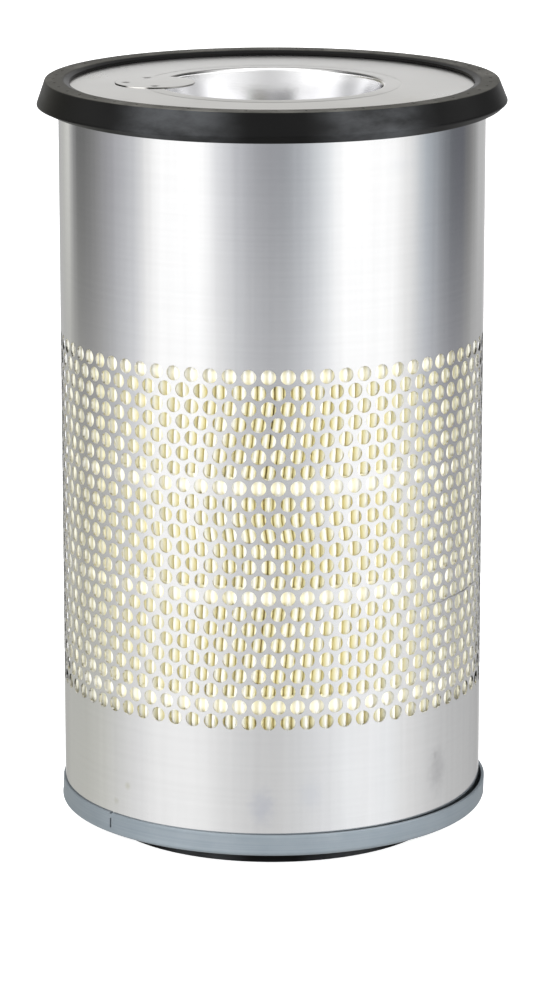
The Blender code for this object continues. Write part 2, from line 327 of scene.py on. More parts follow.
def punched_tube(radius, sheet, low, high, columns, rows, hole_radius, row_pitch,
                 first_z, phase, sides, bands):
    """A tube of punched sheet with staggered round holes.

    Each hole is a ring of corners. Webs join the arcs of two holes that face
    each other, triangles fill between three holes, and plain bands of the
    given numbers of rows close the sheet below and above.
    """
    pitch = 2 * math.pi / columns
    arc = sides // 6
    corner_angles = [math.radians(30) + 2 * math.pi * k / sides for k in range(sides)]
    outer = []

    for row in range(rows):
        for column in range(columns):
            centre = phase + (column + 0.5 * (row % 2)) * pitch
            z = first_z + row * row_pitch
            for angle in corner_angles:
                outer.append((centre + hole_radius * math.cos(angle) / radius,
                              z + hole_radius * math.sin(angle)))
    faces = []

    def corner(column, row, k):
        return (row * columns + column % columns) * sides + k % sides

    def web(column, row, direction, other_column, other_row):
        """Quads between the arc facing one way and the arc facing back."""
        near = [corner(column, row, direction * arc - arc + m) for m in range(arc + 1)]
        far = [corner(other_column, other_row, (direction + 3) * arc - arc + m)
               for m in range(arc + 1)]
        for m in range(arc):
            faces.append((near[m], far[arc - m], far[arc - m - 1], near[m + 1]))

    for row in range(rows):
        shift = row % 2
        for column in range(columns):
            right, up_left, up_right = column + 1, column + shift - 1, column + shift
            web(column, row, 0, right, row)
            if row + 1 < rows:
                web(column, row, 1, up_right, row + 1)
                web(column, row, 2, up_left, row + 1)
                faces.append((corner(column, row, 0), corner(right, row, 2 * arc),
                              corner(up_right, row + 1, 4 * arc)))
                faces.append((corner(column, row, arc), corner(up_right, row + 1, 3 * arc),
                              corner(up_left, row + 1, 5 * arc)))
    edges = {}
    margin = 1.5 * hole_radius
    for row, order, upward, end, count in (
            (rows - 1, range(2 * arc, -1, -1), True, high, bands[1]),
            (0, range(3 * arc, 5 * arc + 1), False, low, bands[0])):
        chain = [corner(column, row, k) for column in range(columns) for k in order]
        start = first_z + row * row_pitch + (margin if upward else -margin)
        for level in range(count + 1):
            z = start + (end - start) * level / count
            ring = []
            for index in chain:
                ring.append(len(outer))
                outer.append((outer[index][0], z))
            for k in range(len(chain)):
                following = (k + 1) % len(chain)
                quad = (chain[k], chain[following], ring[following], ring[k])
                faces.append(quad if upward else quad[::-1])
            chain = ring
        edges[upward] = chain

    total = len(outer)
    vertices = [on_circle(r, angle, z) for r in (radius, radius - sheet)
                for angle, z in outer]
    faces += [tuple(index + total for index in face[::-1]) for face in faces]
    for hole in range(rows * columns):
        for k in range(sides):
            here, following = hole * sides + k, hole * sides + (k + 1) % sides
            faces.append((here, following, following + total, here + total))
    for upward, chain in edges.items():
        for k in range(len(chain)):
            here, following = chain[k], chain[(k + 1) % len(chain)]
            quad = (here, following, following + total, here + total)
            faces.append(quad if upward else quad[::-1])
    return vertices, faces


def smooth_noise(rng, shape, passes):
    """Seeded noise of the given shape, blurred round and along."""
    field = rng.standard_normal(shape)
    for _ in range(passes):
        field = (np.roll(field, 1, 0) + field + np.roll(field, -1, 0)) / 3
        padded = np.pad(field, ((0, 0), (1, 1)), mode="edge")
        field = (padded[:, :-2] + padded[:, 1:-1] + padded[:, 2:]) / 3
    return field / np.abs(field).max()


# Materials

def blot(tree, wall, place, size):
    """A soft uneven mask on the wall, in mm: at (round, up), half a width and a height."""
    uneven = noise(tree, wall, 240.0, 3.0, 0.6)
    local = seen_from(tree, wall, place, size=(size[0] * MM, size[1] * MM, 1.0))
    reach = math_node(tree, "MULTIPLY_ADD", uneven, 0.6, length(tree, local))
    return ramp(tree, reach, [(0.30, 1.0), (1.0, 0.0)], "EASE")


def hairline(tree, wall, start, end, half_width):
    """A thin wandering line on the wall, in mm, between two points (round, up)."""
    sway = 2.4 * MM
    along = Vector(end) - Vector(start)
    local = seen_from(tree, wall, start, turn=math.atan2(along.y, along.x))
    wander = noise(tree, scaled(tree, local, (90.0, 0.0, 0.0)), 1.0, 2.0, 0.5)
    ahead, aside = split(tree, local)[:2]
    across = math_node(tree, "MULTIPLY_ADD", wander, sway, aside)
    across = math_node(tree, "ABSOLUTE", math_node(tree, "SUBTRACT", across, sway / 2))
    near = ramp(tree, math_node(tree, "DIVIDE", across, half_width * MM), [(0.2, 1.0), (1.0, 0.0)])
    part = math_node(tree, "DIVIDE", ahead, along.length * MM)
    within = ramp(tree, part, [(0.0, 0.0), (0.35, 0.45), (0.6, 1.0), (0.9, 1.0), (1.0, 0.0)])
    return math_node(tree, "MULTIPLY", near, within)


def liner_steel():
    """Semi-bright zinc-coated sheet: faint rolling marks, blots and a scratch."""
    made, tree = blank_tree("liner_steel")
    wall = wrapped(tree)
    clouds = noise(tree, scaled(tree, wall, (1.0, 0.6, 1.0)), 28.0, 4.0, 0.55)
    bands = noise(tree, scaled(tree, wall, (240.0, 4.0, 1.0)), 1.0, 3.0, 0.6)
    rolling = noise(tree, scaled(tree, wall, (9.0, 480.0, 1.0)), 1.0, 3.0, 0.6)
    color = ramp(tree, clouds, [(0.3, (0.640, 0.640, 0.643)), (0.7, (0.662, 0.662, 0.662))])
    color = mix(tree, 0.04, color, ramp(tree, bands, [(0.35, 0.40), (0.65, 0.90)]))
    color = mix(tree, 0.03, color, ramp(tree, rolling, [(0.35, 0.40), (0.65, 0.90)]))
    for place, size, amount, tint in (
            ((-4.7, 33), (13, 19), 0.32, (0.40, 0.43, 0.54)),
            ((18, 39), (12, 15), 0.16, (0.46, 0.50, 0.60)),
            ((88.7, 40), (13, 23), 0.42, (0.36, 0.36, 0.37)),
            ((87, 47), (3, 4), 0.30, (0.30, 0.30, 0.30)),
            ((-74, 35), (4, 4), 0.40, (0.42, 0.41, 0.26)),
            ((-82, 26), (3.5, 3.5), 0.30, (0.42, 0.41, 0.30)),
            ((62, 330), (16, 9), 0.10, (0.50, 0.52, 0.58)),
            ((-150, 200), (30, 18), 0.14, (0.48, 0.46, 0.38)),
            ((215, 60), (34, 14), 0.14, (0.48, 0.46, 0.38))):
        color = tinted(tree, color, blot(tree, wall, place, size), amount, tint)
    scratch = hairline(tree, wall, (72, 120.8), (134, 122.6), 0.45)
    color = tinted(tree, color, scratch, 0.75, (0.12, 0.12, 0.12))
    rough = math_node(tree, "MULTIPLY_ADD", clouds, 0.05, 0.095)
    relief = bump(tree, rolling, 0.04 * MM, 0.10)
    relief = bump(tree, clouds, 0.5 * MM, 0.06, relief)
    return finish_material(made, tree, {
        "Base Color": color, "Metallic": 1.0, "Roughness": rough, "Normal": relief})


def cap_steel(name, dish):
    """Pale tinned steel with painted shade, darker in front and lighter behind, with a bright dish
    or a disc's edge painted dark as a shadow line.
    """
    made, tree = blank_tree(name)
    point = object_point(tree)
    clouds = noise(tree, point, 22.0, 5.0, 0.6)
    fine = noise(tree, point, 900.0, 3.0, 0.6)
    marks = ramp(tree, noise(tree, point, 46.0, 6.0, 0.65), [(0.60, 0.0), (0.72, 1.0)])
    back = math_node(tree, "MULTIPLY_ADD", split(tree, point)[1], 0.5 / LINER_RADIUS, 0.5)
    # Painted shade: the face is darker in front and lighter behind, as the light falls on it
    wear_and_painted_shade = ramp(tree, back, [(0.05, (0.620, 0.607, 0.571)), (0.45, (0.745, 0.735, 0.712)),
                             (0.85, (0.875, 0.870, 0.855))])
    color = tinted(tree, wear_and_painted_shade, clouds, 0.25, (0.76, 0.75, 0.71))
    color = tinted(tree, color, marks, 0.20, (0.50, 0.45, 0.34))
    rough = math_node(tree, "MULTIPLY_ADD", clouds, 0.10, 0.24)
    if dish:
        decimetres = math_node(tree, "MULTIPLY", from_axis(tree, point), 10.0)
        in_dish = ramp(tree, decimetres, [(0.515, 1.0), (0.530, 0.0)])
        color = mix(tree, in_dish, color, (0.80, 0.80, 0.81))
        rough = math_node(tree, "MULTIPLY_ADD", in_dish, -0.16, rough)
    else:
        # The disc's edge gets painted shade, a dark line like the shadow under it
        color = mix(tree, painted_edge_shadow(tree, point), color, (0.05, 0.05, 0.045))
    relief = bump(tree, fine, 0.03 * MM, 0.2)
    relief = bump(tree, clouds, 0.6 * MM, 0.10, relief)
    return finish_material(made, tree, {
        "Base Color": color, "Metallic": 1.0, "Roughness": rough, "Normal": relief})


def painted_edge_shadow(tree, point):
    """A mask for the disc's edge, painted dark as the shadow line under it, but for one stretch in
    front that stays bare.
    """
    low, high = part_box("spot_welded_disc")
    radius = (high.x - low.x) / 2
    local = node(tree, "ShaderNodeVectorMath", {0: point, 1: (low + high) / 2},
                 operation="SUBTRACT").outputs[0]
    outside = math_node(tree, "SUBTRACT", from_axis(tree, local), radius - 0.3 * MM)
    edge = math_node(tree, "DIVIDE", outside, 0.15 * MM, clamp=True)
    turn = turn_share(tree, bearing(tree, local))
    shadow_share = ramp(tree, turn, [(share_at(degrees), amount) for degrees, amount in (
        (-110, 0.3), (-90, 1.0), (-46, 1.0), (-39, 0.0), (-14, 0.0), (-7, 1.0), (18, 0.9),
        (30, 0.6), (75, 0.6), (110, 0.3))])
    return math_node(tree, "MULTIPLY", edge, shadow_share)


def rim_steel():
    """Dull blue-grey pressed steel, with drawing lines round the rim."""
    made, tree = blank_tree("rim_steel")
    wall = wrapped(tree)
    clouds = noise(tree, wall, 40.0, 5.0, 0.6)
    lines = noise(tree, scaled(tree, wall, (12.0, 1300.0, 1.0)), 1.0, 3.0, 0.55)
    base = ramp(tree, clouds, [(0.3, (0.200, 0.242, 0.275)), (0.7, (0.255, 0.295, 0.328))])
    color = mix(tree, 0.10, base, ramp(tree, lines, [(0.35, 0.20), (0.65, 0.46)]))
    rough = math_node(tree, "MULTIPLY_ADD", clouds, 0.15, 0.42)
    relief = bump(tree, lines, 0.04 * MM, 0.2)
    return finish_material(made, tree, {
        "Base Color": color, "Metallic": 0.60, "Roughness": rough, "Normal": relief})


def scuff_and_sheen_at(tree, point, degrees, spread):
    """A soft mask round the wall at this angle from the front towards +X."""
    off = math_node(tree, "SUBTRACT", bearing(tree, point), math.radians(degrees))
    far = math_node(tree, "DIVIDE", math_node(tree, "ABSOLUTE", off), math.radians(spread))
    return ramp(tree, far, [(0.25, 1.0), (1.0, 0.0)], "EASE")


def rubber(name, shade, gloss, roughness, dust_above):
    """Moulded black rubber with a fine grain, dusty on its top face, and scuffed and lighter at
    two bearings in front, where a highlight is painted.
    """
    made, tree = blank_tree(name)
    point = object_point(tree)
    grain = noise(tree, point, 1400.0, 2.0, 0.6)
    patches = noise(tree, scaled(tree, point, (1.0, 1.0, 2.5)), 45.0, 5.0, 0.62)
    over = math_node(tree, "SUBTRACT", split(tree, point)[2], dust_above)
    dusty = math_node(tree, "DIVIDE", over, 0.35 * MM, clamp=True)
    wear_and_painted_shade = ramp(tree, patches, [(0.48, 0.0), (0.74, 1.0)])
    # Painted highlight: lighter rubber at two bearings in front, where the softboxes reflect,
    # broken up by scuff patches
    scuffs_and_painted_sheen = mix(tree, 1.0, scuff_and_sheen_at(tree, point, -24, 19), scuff_and_sheen_at(tree, point, 26, 19), "LIGHTEN")
    scuffs_and_painted_sheen = mix(tree, 1.0, scuffs_and_painted_sheen, ramp(tree, patches, [(0.35, 0.35), (0.65, 1.0)]), "MULTIPLY")
    dust = mix(tree, wear_and_painted_shade, (0.065, 0.063, 0.056), (0.140, 0.136, 0.124))
    scuffed_and_sheened = mix(tree, scuffs_and_painted_sheen, shade, (0.046, 0.048, 0.051))
    color = mix(tree, dusty, scuffed_and_sheened, dust)
    rough = math_node(tree, "MULTIPLY_ADD", patches, 0.16, roughness)
    rough = math_node(tree, "MULTIPLY_ADD", dusty, 0.25, rough)
    relief = bump(tree, grain, 0.04 * MM, 0.5)
    return finish_material(made, tree, {
        "Base Color": color, "Roughness": rough, "Normal": relief,
        "Specular IOR Level": gloss})


def filter_paper():
    """Cream resin-treated paper, pale on the folds, with painted golden shade between them."""
    made, tree = blank_tree("filter_paper")
    point = object_point(tree)
    depth = math_node(tree, "SUBTRACT", PLEAT_TIP, from_axis(tree, point))
    shade_depth = math_node(tree, "DIVIDE", depth, 8.0 * MM, clamp=True)
    fibres = noise(tree, scaled(tree, point, (1.0, 1.0, 0.35)), 1100.0, 4.0, 0.65)
    patches = noise(tree, point, 60.0, 4.0, 0.6)
    # Painted shade: the colour turns golden with depth below the folds, for the light that bounces
    # between the pleats
    paper = ramp(tree, shade_depth, [(0.0, (0.85, 0.845, 0.78)), (0.03, (0.85, 0.84, 0.74)),
                              (0.10, (0.87, 0.845, 0.66)), (0.30, (0.90, 0.835, 0.50)),
                              (1.0, (0.95, 0.72, 0.26))])
    color = tinted(tree, paper, patches, 0.20, (0.89, 0.87, 0.75))
    color = tinted(tree, color, fibres, 0.12, (0.80, 0.72, 0.50))
    relief = bump(tree, fibres, 0.10 * MM, 0.4)
    return finish_material(made, tree, {
        "Base Color": color, "Roughness": math_node(tree, "MULTIPLY_ADD", fibres, 0.2, 0.68),
        "Normal": relief})


def hot_melt():
    """Pale glue, a little glossy, yellower where it has sunk between two folds."""
    made, tree = blank_tree("hot_melt")
    point = object_point(tree)
    clouds = noise(tree, point, 260.0, 3.0, 0.5)
    depth = math_node(tree, "SUBTRACT", PLEAT_TIP + 0.6 * MM, from_axis(tree, point))
    sunk = math_node(tree, "DIVIDE", depth, 1.6 * MM)
    thick = ramp(tree, sunk, [(0.2, (0.87, 0.86, 0.79)), (0.9, (0.84, 0.78, 0.50))])
    color = tinted(tree, thick, clouds, 0.25, (0.86, 0.84, 0.74))
    relief = bump(tree, clouds, 0.3 * MM, 0.4)
    return finish_material(made, tree, {
        "Base Color": color, "Roughness": math_node(tree, "MULTIPLY_ADD", clouds, 0.2, 0.28),
        "Normal": relief})


def sealant():
    """Cured potting, dull grey and slightly uneven."""
    made, tree = blank_tree("sealant")
    point = object_point(tree)
    clouds = noise(tree, point, 90.0, 4.0, 0.6)
    color = ramp(tree, clouds, [(0.3, (0.20, 0.195, 0.18)), (0.7, (0.30, 0.29, 0.27))])
    return finish_material(made, tree, {
        "Base Color": color, "Roughness": math_node(tree, "MULTIPLY_ADD", clouds, 0.2, 0.45),
        "Normal": bump(tree, clouds, 0.5 * MM, 0.4)})


STEEL = liner_steel()
TINPLATE = cap_steel("cap_steel", dish=True)
DISC_STEEL = cap_steel("disc_steel", dish=False)
RIM = rim_steel()
RING_RUBBER = rubber("ring_rubber", shade=(0.003, 0.003, 0.003), gloss=0.10, roughness=0.26,
                     dust_above=RING_TOP - 0.4 * MM)
GASKET_RUBBER = rubber("gasket_rubber", shade=(0.002, 0.002, 0.002), gloss=0.10, roughness=0.60,
                       dust_above=RING_TOP)
PAPER = filter_paper()
GLUE = hot_melt()
SEALANT = sealant()


# Pieces

def outer_liner():
    """The outer liner, with its staggered rows of holes between two plain ends."""
    vertices, faces = punched_tube(
        LINER_RADIUS, LINER_SHEET, LINER_LOW, LINER_HIGH, HOLE_COLUMNS, HOLE_ROWS,
        HOLE_RADIUS, HOLE_ROW_PITCH, LOWEST_HOLE_Z, FRONT + HOLE_PHASE, sides=18, bands=(5, 9))
    piece("liner_sheet", vertices, faces, STEEL, "outer_liner")


def inner_liner():
    """The inner liner, punched over nearly its whole height."""
    plain = 12 * MM
    rows = int((CORE_HIGH - CORE_LOW - 2 * plain) / HOLE_ROW_PITCH)
    first = (CORE_LOW + CORE_HIGH - (rows - 1) * HOLE_ROW_PITCH) / 2
    vertices, faces = punched_tube(
        CORE_RADIUS, LINER_SHEET, CORE_LOW, CORE_HIGH, CORE_HOLE_COLUMNS, rows,
        HOLE_RADIUS, HOLE_ROW_PITCH, first, FRONT, sides=12, bands=(1, 1))
    piece("core_sheet", vertices, faces, STEEL, "inner_liner")


def gap_angle(z):
    """Where the widest gap between two pleats runs, as seen in front."""
    heights = np.array([18, 75, 113, 150, 174, 226, 345]) * MM
    degrees = np.array([-3.0, -4.7, -2.8, -0.6, -2.8, 0.8, 0.0])
    return math.radians(np.interp(z, heights, degrees))


class Folds:
    """Where each pleat's fold stands at every level: angle, radius and half width."""
    levels = 25

    def __init__(self):
        rng = np.random.default_rng(11)
        shape = (PLEATS, self.levels)
        self.heights = np.linspace(MEDIA_LOW, MEDIA_HIGH, self.levels)
        self.gap = 0.35 * MM / PLEAT_TIP
        self.pitch = (2 * math.pi - self.gap) / PLEATS
        lean = smooth_noise(rng, shape, 10) * 0.9 * MM / PLEAT_TIP
        loose = smooth_noise(rng, shape, 2) * 0.45 * MM / PLEAT_TIP
        base = self.gap / 2 + (np.arange(PLEATS) + 0.5) * self.pitch
        around = np.minimum(base, 2 * math.pi - base)[:, None]
        pulled = np.array([gap_angle(z) for z in self.heights])[None, :]
        spread = math.radians(26)
        self.angle = base[:, None] + lean + loose + pulled * np.exp(-(around / spread) ** 2)
        self.root = base + self.pitch / 2
        self.radius = PLEAT_TIP + smooth_noise(rng, shape, 3) * 0.5 * MM
        self.half_width = 0.62 * MM + smooth_noise(rng, shape, 1) * 0.16 * MM

    def shoulders(self, pleat, level):
        """Angles on either side, below a fold, where its walls meet the next ones."""
        column = self.angle[:, level]
        before = column[pleat - 1] - (2 * math.pi if pleat == 0 else 0.0)
        following = column[(pleat + 1) % PLEATS] + (2 * math.pi if pleat == PLEATS - 1 else 0.0)
        touch = 0.30 * MM / PLEAT_TIP
        return (0.5 * (before + column[pleat]) + touch + (self.gap / 2 if pleat == 0 else 0.0),
                0.5 * (following + column[pleat]) - touch
                - (self.gap / 2 if pleat == PLEATS - 1 else 0.0))

    def at(self, z):
        """Angles and radii of all the folds at one height."""
        return ([float(np.interp(z, self.heights, row)) for row in self.angle],
                [float(np.interp(z, self.heights, row)) for row in self.radius])


FOLDS = Folds()


def pleated_paper():
    """Pleats with narrow round folds that wander a little from end to end."""
    root_fold = 0.45 * MM
    vertices = []
    for level, z in enumerate(FOLDS.heights):
        for pleat in range(PLEATS):
            middle = FOLDS.angle[pleat, level]
            tip = FOLDS.radius[pleat, level]
            width = FOLDS.half_width[pleat, level]
            root = FOLDS.root[pleat]
            left, right = FOLDS.shoulders(pleat, level)
            profile = [(tip - SHOULDER, left)]
            for step in range(5):
                turn = math.radians(-60 + 30 * step)
                r = tip - width + width * math.cos(turn)
                profile.append((r, middle + width * math.sin(turn) / r))
            profile.append((tip - SHOULDER, right))
            half = 0.5 * (PLEAT_ROOT + tip)
            profile.append((half, 0.5 * (middle + root) + 0.5 * (width - root_fold) / half))
            for step in range(3):
                turn = math.radians(-90 + 90 * step)
                r = PLEAT_ROOT + root_fold - root_fold * math.cos(turn)
                profile.append((r, root + root_fold * math.sin(turn) / r))
            following = (pleat + 1) % PLEATS
            wrap = 2 * math.pi if following == 0 else 0.0
            next_middle = FOLDS.angle[following, level] + wrap
            next_width = FOLDS.half_width[following, level]
            profile.append((half, 0.5 * (next_middle + root)
                            - 0.5 * (next_width - root_fold) / half))
            vertices += [on_circle(r, FRONT + angle, z) for r, angle in profile]
    ring = len(vertices) // FOLDS.levels
    faces = []
    for level in range(FOLDS.levels - 1):
        for index in range(ring):
            following = (index + 1) % ring
            low, high = level * ring, (level + 1) * ring
            faces.append((low + index, low + following, high + following, high + index))
    paper = piece("pleated_paper", vertices, faces, PAPER, "pleated_media", 60)
    thick = paper.modifiers.new("paper", "SOLIDIFY")
    thick.thickness = PAPER_SHEET
    thick.offset = 0.0


def glue_strings():
    """Flat beads laid over the folds, that sink into the gaps between them."""
    rng = np.random.default_rng(5)
    half_height, half_depth = 4.4 * MM, 0.50 * MM
    deepest, above_fold = 1.3 * MM, 0.10 * MM
    parts, sides = 6, 10
    steps = PLEATS * parts
    beads = sorted(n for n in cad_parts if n.startswith("pleat_bead"))
    for name in beads:
        low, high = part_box(name)
        middle = (low.z + high.z) / 2
        swell = 1 + 0.12 * smooth_noise(rng, (steps, 3), 8)[:, 1]
        drift = 0.7 * MM * smooth_noise(rng, (steps, 3), 60)[:, 1]
        angles, radii = FOLDS.at(middle)
        vertices = []
        for step in range(steps):
            pleat, part = divmod(step, parts)
            following = (pleat + 1) % PLEATS
            next_angle = angles[following] + (2 * math.pi if following == 0 else 0.0)
            share = part / parts
            angle = angles[pleat] * (1 - share) + next_angle * share
            crest = radii[pleat] * (1 - share) + radii[following] * share
            sink = deepest * (0.5 - 0.5 * math.cos(2 * math.pi * share))
            radius = crest + above_fold - sink
            for side in range(sides):
                turn = 2 * math.pi * side / sides
                r = radius + half_depth * math.cos(turn)
                z = middle + drift[step] + half_height * swell[step] * math.sin(turn)
                vertices.append(on_circle(r, FRONT + angle, z))
        piece(name.replace("pleat_bead", "glue_string"), vertices, swept(steps, sides), GLUE,
              name, 80)


def seal_ring():
    """The rubber ring, with a row of fine vent holes in its top face."""
    width, lip_height, clearance = 15.4 * MM, 3.1 * MM, 0.3 * MM
    vents, vent_circle = 48, 102.2 * MM
    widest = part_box("seal_ring")[1].x
    inner = widest - width
    lip = RING_LOW + lip_height
    inner_top = CLOSED_FACE + 1.5 * MM
    seat = CLOSED_FACE + clearance
    sleeve = FLANGE_RADIUS + clearance
    seam = (inner + 6 * MM, RING_TOP)
    section = rounded([
        seam, (inner + 3.5 * MM, RING_TOP, 1.5 * MM, 3),
        (inner, inner_top, 0.4 * MM, 4), (inner, seat, 0, 0),
        (sleeve, seat, 0, 0), (sleeve, RING_LOW, 0.4 * MM, 2),
        (widest - 2.3 * MM, RING_LOW, 1.0 * MM, 4), (widest + 0.1 * MM, lip, 1.2 * MM, 6),
        (inner + 11.5 * MM, RING_TOP, 0.6 * MM, 5), seam])[:-1]
    vertices, faces = turned(section)

    def slack(x, y, z):
        """How far the soft skirt stands above its true place.

        The lip tilts up towards +X, and the lower edge is drawn up at both sides.
        """
        side = x / math.hypot(x, y)
        at_lip = np.interp(z, (RING_LOW, lip, RING_TOP), (0.0, 1.0, 0.0))
        below = np.interp(z, (RING_LOW, lip), (1.0, 0.0))
        return (at_lip * 0.93 * side + below * (2.05 * side ** 4 + 0.2 * side - 0.2)) * MM

    vertices = [(x, y, z + slack(x, y, z)) for x, y, z in vertices]
    ring = piece("rubber_ring", vertices, faces, RING_RUBBER, "seal_ring")
    drills = bmesh.new()
    for number in range(vents):
        angle = math.radians(360 / vents * number + 1)
        place = Matrix.Translation(on_circle(vent_circle, angle, RING_TOP))
        bmesh.ops.create_cone(drills, cap_ends=True, segments=10, radius1=0.7 * MM,
                              radius2=1.0 * MM, depth=3.0 * MM, matrix=place)
    bore(ring, drills)


def bore(made, cutter_bm):
    """Cut a closed bmesh out of a piece for good."""
    mesh = bpy.data.meshes.new("cutter")
    cutter_bm.to_mesh(mesh)
    cutter_bm.free()
    cutter = bpy.data.objects.new("cutter", mesh)
    bpy.context.scene.collection.objects.link(cutter)
    boolean = made.modifiers.new("bore", "BOOLEAN")
    boolean.operation = "DIFFERENCE"
    boolean.object = cutter
    bpy.context.view_layer.update()
    shape = bpy.data.meshes.new_from_object(made.evaluated_get(
        bpy.context.evaluated_depsgraph_get()))
    made.modifiers.remove(boolean)
    made.data = shape
    shape.shade_smooth()
    shape.set_sharp_from_angle(angle=math.radians(40))
    bpy.data.objects.remove(cutter)


def closed_end_cap():
    """The pressed cap: its flange, a fine crease in its face, and the dish with its hole."""
    crease_start, crease, crease_end = 60.9 * MM, 60.3 * MM, 59.6 * MM
    dish_mouth, dish_foot, stud_hole = 52 * MM, 46 * MM, 5.5 * MM
    dish_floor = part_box("closed_end_cap")[0].z + CAP_SHEET
    face = rounded([
        (FLANGE_RADIUS, CLOSED_RIM), (FLANGE_RADIUS, CLOSED_FACE, CAP_BEND, 6),
        (crease_start, CLOSED_FACE, 0.5 * MM, 2), (crease, CLOSED_FACE - 0.12 * MM, 0.4 * MM, 2),
        (crease_end, CLOSED_FACE + 0.02 * MM, 0.6 * MM, 2),
        (dish_mouth, CLOSED_FACE + 0.2 * MM, CAP_BEND, 8),
        (dish_foot, dish_floor, 6 * MM, 10), (stud_hole, dish_floor)])
    vertices, faces = turned(sheet_section(face, CAP_SHEET))
    piece("pressed_cap", vertices, faces, TINPLATE, "closed_end_cap", 50)


def welded_disc():
    """A thin disc with three dimples where it is spot-welded to the cap."""
    sheet, edge, above_cap = 0.7 * MM, 0.15 * MM, 0.10 * MM
    weld_circle, dimple_radius, dimple_depth = 13.7 * MM, 1.6 * MM, 0.42 * MM
    low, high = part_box("spot_welded_disc")
    centre = (low + high) / 2
    radius = (high.x - low.x) / 2
    low.z = CLOSED_FACE + above_cap
    high.z = low.z + sheet
    rings, segments = 26, 96
    welds = [on_circle(weld_circle, math.radians(189 + 82 * number), 0)[:2]
             for number in (-1, 0, 1)]
    radii = [radius * (k + 1) / rings for k in range(rings - 1)]
    radii += [radius - edge, radius - 0.3 * edge, radius]
    drops = [0.0] * (rings - 1) + [0.0, 0.03 * MM, 0.10 * MM]

    def dimple(x, y):
        """How deep the top face is dented here."""
        return dimple_depth * sum(
            math.exp(-(math.dist((x, y), weld) / dimple_radius) ** 4) for weld in welds)

    vertices, faces = [], []
    for top in (True, False):
        vertices.append((centre.x, centre.y, high.z if top else low.z))
        for r, drop in zip(radii, drops):
            for k in range(segments):
                x, y, _ = on_circle(r, 2 * math.pi * k / segments, 0)
                z = high.z - drop - dimple(x, y) if top else low.z
                vertices.append((centre.x + x, centre.y + y, z))
    count = 1 + len(radii) * segments
    for side in (0, count):
        for k in range(segments):
            following = (k + 1) % segments
            fan = (side, side + 1 + k, side + 1 + following)
            faces.append(fan if side == 0 else fan[::-1])
            for ring in range(len(radii) - 1):
                a, b = side + 1 + ring * segments, side + 1 + (ring + 1) * segments
                quad = (a + k, b + k, b + following, a + following)
                faces.append(quad if side == 0 else quad[::-1])
    rim = 1 + (len(radii) - 1) * segments
    for k in range(segments):
        following = (k + 1) % segments
        faces.append((rim + k, count + rim + k, count + rim + following, rim + following))
    disc = piece("welded_disc", vertices, faces, DISC_STEEL, "spot_welded_disc", 50)
    # Its edge would leave a black line in the bright dish, where the photograph has none
    disc.visible_glossy = False


def open_end_cap():
    """The channel ring, its rim pressed a little off centre and thick at the edge."""
    outlet, collar, bevel = 52.8 * MM, 9 * MM, 0.3 * MM
    off_centre, clearance, slit_angle = 0.92 * MM, 0.06 * MM, math.radians(-48.7)
    face = rounded([
        (FLANGE_RADIUS, OPEN_RIM - bevel), (FLANGE_RADIUS, OPEN_FACE, CAP_BEND, 8),
        (outlet, OPEN_FACE, CAP_BEND, 8), (outlet, OPEN_FACE + collar)])
    section = sheet_section(face, -CAP_SHEET)
    section[-1] = Vector((FLANGE_RADIUS - 1.5 * MM, OPEN_RIM - bevel))
    section += [Vector((FLANGE_RADIUS - 1.3 * MM, OPEN_RIM)),
                Vector((FLANGE_RADIUS - 0.2 * MM, OPEN_RIM))]
    vertices, faces = turned(section)

    def pressed(x, y, z):
        """The place of a point of the rim, kept just outside the liner."""
        if math.hypot(x, y) < 90 * MM:
            return x, y, z
        x += off_centre * min(1.0, (z - OPEN_FACE) / (3 * MM))
        clear = max(1.0, (LINER_RADIUS + clearance) / math.hypot(x, y))
        return (x * clear, y * clear, z) if z > OPEN_FACE + 1.5 * MM else (x, y, z)

    vertices = [pressed(x, y, z) for x, y, z in vertices]
    cap = piece("pressed_rim", vertices, faces, RIM, "open_end_cap", 50)
    slit = bmesh.new()
    for width, height, z in ((1.1 * MM, 4.7 * MM, OPEN_RIM - 4.95 * MM),
                             (1.4 * MM, 1.2 * MM, OPEN_RIM)):
        box = bmesh.ops.create_cube(slit, size=1.0)["verts"]
        bmesh.ops.scale(slit, vec=(width, 6 * CAP_SHEET, height), verts=box)
        bmesh.ops.translate(slit, vec=(0, -FLANGE_RADIUS, z), verts=box)
    turn = Matrix.Rotation(slit_angle, 3, "Z")
    bmesh.ops.rotate(slit, cent=(0, 0, 0), verts=slit.verts, matrix=turn)
    bore(cap, slit)


def open_end_gasket():
    """The flat gasket; its foot is a hair above the solid's, inside the solid's box."""
    width, lift = 20 * MM, 0.01 * MM
    low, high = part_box("open_end_gasket")
    outer = high.x
    inner = outer - width
    foot = low.z + lift
    seam = (outer - 5 * MM, high.z)
    section = rounded([
        seam, (inner, high.z, 0.3 * MM, 2), (inner, foot, 0.5 * MM, 3),
        (outer, foot, 0.2 * MM, 3), (outer, high.z, 0.3 * MM, 2), seam])[:-1]
    vertices, faces = turned(section, 200)
    piece("gasket", vertices, faces, GASKET_RUBBER, "open_end_gasket")


def finish_nodes():
    """The hidden potting keeps its solids and gets its material."""
    for name in ("open_end_potting", "closed_end_potting"):
        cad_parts[name].data.materials.clear()
        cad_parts[name].data.materials.append(SEALANT)


outer_liner()
inner_liner()
pleated_paper()
glue_strings()
seal_ring()
closed_end_cap()
welded_disc()
open_end_cap()
open_end_gasket()
finish_nodes()


# Floor, light and camera

